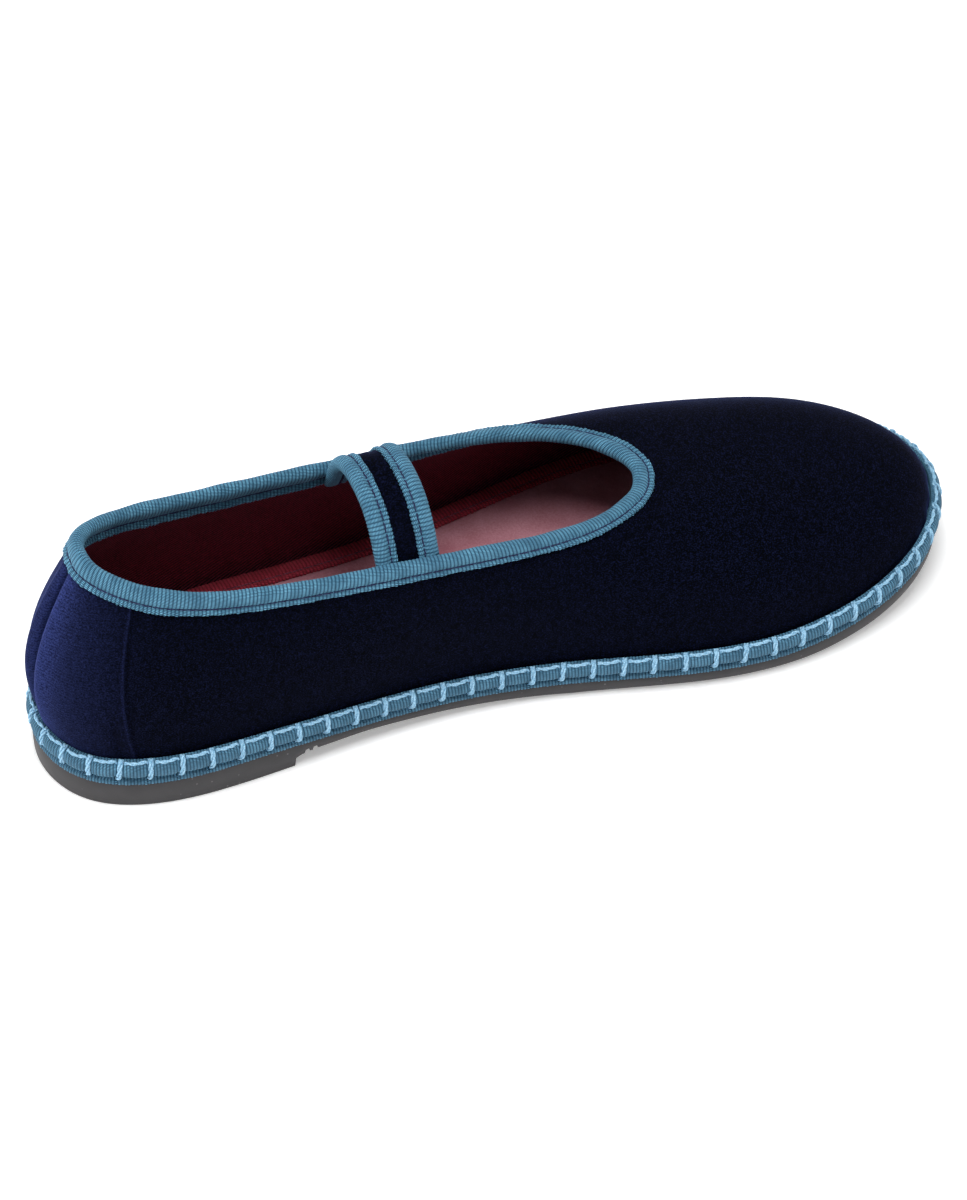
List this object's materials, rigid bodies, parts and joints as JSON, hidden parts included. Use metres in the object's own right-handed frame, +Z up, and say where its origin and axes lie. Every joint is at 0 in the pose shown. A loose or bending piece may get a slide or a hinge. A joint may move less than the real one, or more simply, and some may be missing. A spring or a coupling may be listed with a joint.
{
  "type": "velvet mary jane",
  "caption": "Flat round-toed mary jane in velvet, low-cut and hollow, with a bound collar, an instep strap, a stitched cloth midsole and a rubber sole with a low heel.",
  "frame": {"origin": "middle of the shoe's box, on the floor", "axes": "+Z up, +Y from toe to heel (the toe points to -Y), -X the inner (medial) side of a left foot"},
  "size_m": [0.0894, 0.2534, 0.0695],
  "materials": {
    "rubber": "moulded, satin, near black",
    "edge_tape": "ribbed cotton tape, steel blue",
    "velvet": "short pile velvet, midnight navy",
    "collar_tape": "ribbed cotton tape, sky steel blue",
    "sock_leather": "matt, mauve brown",
    "sock_tape": "ribbed tape, wine red"
  },
  "bodies": {
    "root": {"outsole": "rubber", "midsole": "edge_tape", "upper": "velvet", "collar_binding": "collar_tape", "insole": "sock_leather", "insole_tape": "sock_tape", "strap": "velvet", "strap_binding_rear": "collar_tape", "strap_binding_front": "collar_tape"}
  },
  "joints": []
}
